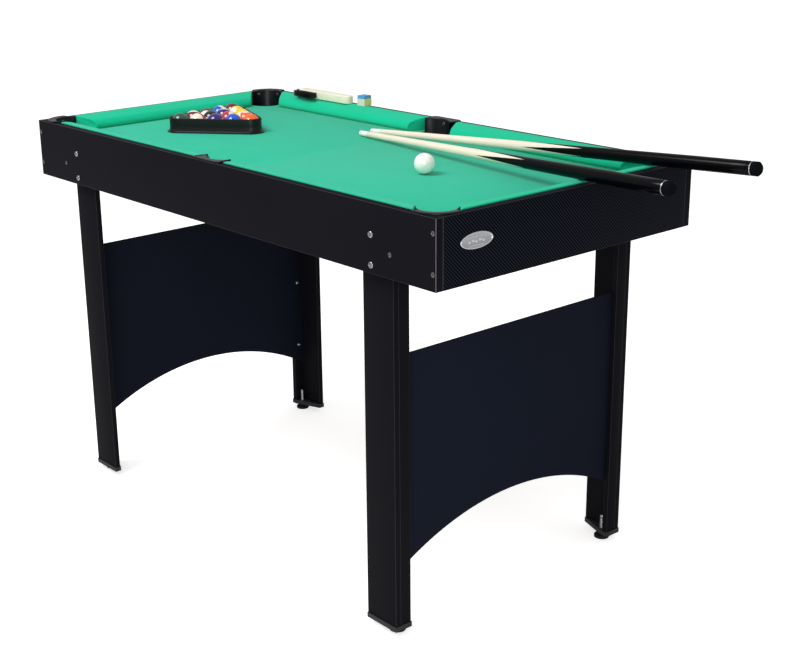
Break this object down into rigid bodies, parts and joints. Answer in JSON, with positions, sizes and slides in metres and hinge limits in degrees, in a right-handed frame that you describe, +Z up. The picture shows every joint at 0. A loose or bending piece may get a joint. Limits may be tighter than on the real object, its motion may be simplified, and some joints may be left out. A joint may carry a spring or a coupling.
{
  "type": "mini pool table",
  "caption": "Free-standing mini pool table with cloth bed, cushions, cup pockets, board legs and levelling feet, with cues, balls, triangle, chalk and brush.",
  "frame": {"origin": "on the floor, under the middle of the bounding box of the table with its set; the table's own middle is 95.9 mm towards -X, because the cues' butts overhang the +X end", "axes": "+X along the table towards the badge end, which the cues overhang; +Y across it towards the side that the brush and chalk lie on; +Z up"},
  "size_m": [1.4118, 0.61, 0.7943],
  "materials": {
    "laminate": "black satin melamine laminate",
    "carbon_foil": "dark foil with a fine diagonal carbon weave",
    "panel_foil": "blue-black matt foil",
    "badge_metal": "stamped silver, bright rim",
    "board": "raw fibreboard",
    "cloth": "green napped cloth",
    "pocket_plastic": "black moulded plastic",
    "rack_plastic": "black moulded plastic, satin",
    "shoe_plastic": "dark grey moulded plastic",
    "zinc_steel": "bright zinc plating",
    "ball_white": "polished ivory white resin",
    "ball_yellow": "polished resin",
    "ball_blue": "polished resin",
    "ball_red": "polished resin",
    "ball_violet": "polished resin",
    "ball_orange": "polished resin",
    "ball_green": "polished resin",
    "ball_maroon": "polished resin",
    "ball_black": "polished resin",
    "cue_wood": "clear-lacquered pale wood shaft, black lacquered butt",
    "chalk_blue": "pressed blue chalk in a paper wrapper",
    "brush_wood": "pale lacquered wood, black bristles"
  },
  "bodies": {
    "root": {"side_apron_far": "laminate", "side_apron_near": "laminate", "end_apron_right": "carbon_foil", "end_apron_left": "carbon_foil", "badge": "badge_metal", "bed_board": "board", "bed_cloth": "cloth", "pocket_middle_far": "pocket_plastic", "pocket_middle_near": "pocket_plastic", "cushion_end_right": "cloth", "cushion_end_left": "cloth", "end_panel_right": "panel_foil", "end_panel_left": "panel_foil", "cross_beam_right": "board", "cross_beam_left": "board", "pocket_right_near": "pocket_plastic", "cushion_right_near": "cloth", "leg_right_near": "laminate", "shoe_right_near": "shoe_plastic", "pocket_right_far": "pocket_plastic", "cushion_right_far": "cloth", "leg_right_far": "laminate", "shoe_right_far": "shoe_plastic", "pocket_left_near": "pocket_plastic", "cushion_left_near": "cloth", "leg_left_near": "laminate", "shoe_left_near": "shoe_plastic", "pocket_left_far": "pocket_plastic", "cushion_left_far": "cloth", "leg_left_far": "laminate", "shoe_left_far": "shoe_plastic"},
    "foot_stem_right_near": {"foot_stem_right_near": "zinc_steel"},
    "foot_pad_right_near": {"foot_pad_right_near": "pocket_plastic"},
    "foot_stem_right_far": {"foot_stem_right_far": "zinc_steel"},
    "foot_pad_right_far": {"foot_pad_right_far": "pocket_plastic"},
    "foot_stem_left_near": {"foot_stem_left_near": "zinc_steel"},
    "foot_pad_left_near": {"foot_pad_left_near": "pocket_plastic"},
    "foot_stem_left_far": {"foot_stem_left_far": "zinc_steel"},
    "foot_pad_left_far": {"foot_pad_left_far": "pocket_plastic"},
    "ball_rack": {"ball_rack": "rack_plastic"},
    "racked_balls": {"ball_1": "ball_orange", "ball_2": "ball_blue", "ball_3": "ball_orange", "ball_4": "ball_violet", "ball_5": "ball_red", "ball_6": "ball_yellow", "ball_7": "ball_red", "ball_8": "ball_black", "ball_9": "ball_violet", "ball_10": "ball_yellow", "ball_11": "ball_green", "ball_12": "ball_maroon", "ball_13": "ball_green", "ball_14": "ball_blue", "ball_15": "ball_maroon"},
    "cue_ball": {"cue_ball": "ball_white"},
    "cue_front": {"cue_front": "cue_wood"},
    "cue_back": {"cue_back": "cue_wood"},
    "chalk": {"chalk": "chalk_blue"},
    "brush": {"brush": "brush_wood"}
  },
  "joints": [
    {"name": "foot_travel_right_near", "type": "slide", "parent": "root", "child": "foot_stem_right_near", "axis": [0, 0, -1], "range_m": [0, 0.0101]},
    {"name": "foot_turn_right_near", "type": "hinge", "parent": "foot_stem_right_near", "child": "foot_pad_right_near", "pos_m": [0.3781, -0.267, 0.004], "axis": [0, 0, -1], "range_deg": [0, 2880]},
    {"name": "foot_travel_right_far", "type": "slide", "parent": "root", "child": "foot_stem_right_far", "axis": [0, 0, -1], "range_m": [0, 0.0101]},
    {"name": "foot_turn_right_far", "type": "hinge", "parent": "foot_stem_right_far", "child": "foot_pad_right_far", "pos_m": [0.3781, 0.267, 0.004], "axis": [0, 0, -1], "range_deg": [0, 2880]},
    {"name": "foot_travel_left_near", "type": "slide", "parent": "root", "child": "foot_stem_left_near", "axis": [0, 0, -1], "range_m": [0, 0.0101]},
    {"name": "foot_turn_left_near", "type": "hinge", "parent": "foot_stem_left_near", "child": "foot_pad_left_near", "pos_m": [-0.5699, -0.267, 0.004], "axis": [0, 0, -1], "range_deg": [0, 2880]},
    {"name": "foot_travel_left_far", "type": "slide", "parent": "root", "child": "foot_stem_left_far", "axis": [0, 0, -1], "range_m": [0, 0.0101]},
    {"name": "foot_turn_left_far", "type": "hinge", "parent": "foot_stem_left_far", "child": "foot_pad_left_far", "pos_m": [-0.5699, 0.267, 0.004], "axis": [0, 0, -1], "range_deg": [0, 2880]},
    {"name": "rack_lift", "type": "slide", "parent": "root", "child": "ball_rack", "axis": [0, 0, 1], "range_m": [0, 0.2]},
    {"name": "racked_balls_lift", "type": "slide", "parent": "root", "child": "racked_balls", "axis": [0, 0, 1], "range_m": [0, 0.2]},
    {"name": "cue_ball_lift", "type": "slide", "parent": "root", "child": "cue_ball", "axis": [0, 0, 1], "range_m": [0, 0.2]},
    {"name": "cue_front_lift", "type": "slide", "parent": "root", "child": "cue_front", "axis": [0, 0, 1], "range_m": [0, 0.2]},
    {"name": "cue_back_lift", "type": "slide", "parent": "root", "child": "cue_back", "axis": [0, 0, 1], "range_m": [0, 0.2]},
    {"name": "chalk_lift", "type": "slide", "parent": "root", "child": "chalk", "axis": [0, 0, 1], "range_m": [0, 0.2]},
    {"name": "brush_lift", "type": "slide", "parent": "root", "child": "brush", "axis": [0, 0, 1], "range_m": [0, 0.2]}
  ],
  "couplings": [
    {"joint": "foot_travel_right_near", "follows": "foot_turn_right_near", "m_per_rad": 0.00019894},
    {"joint": "foot_travel_right_far", "follows": "foot_turn_right_far", "m_per_rad": 0.00019894},
    {"joint": "foot_travel_left_near", "follows": "foot_turn_left_near", "m_per_rad": 0.00019894},
    {"joint": "foot_travel_left_far", "follows": "foot_turn_left_far", "m_per_rad": 0.00019894}
  ]
}
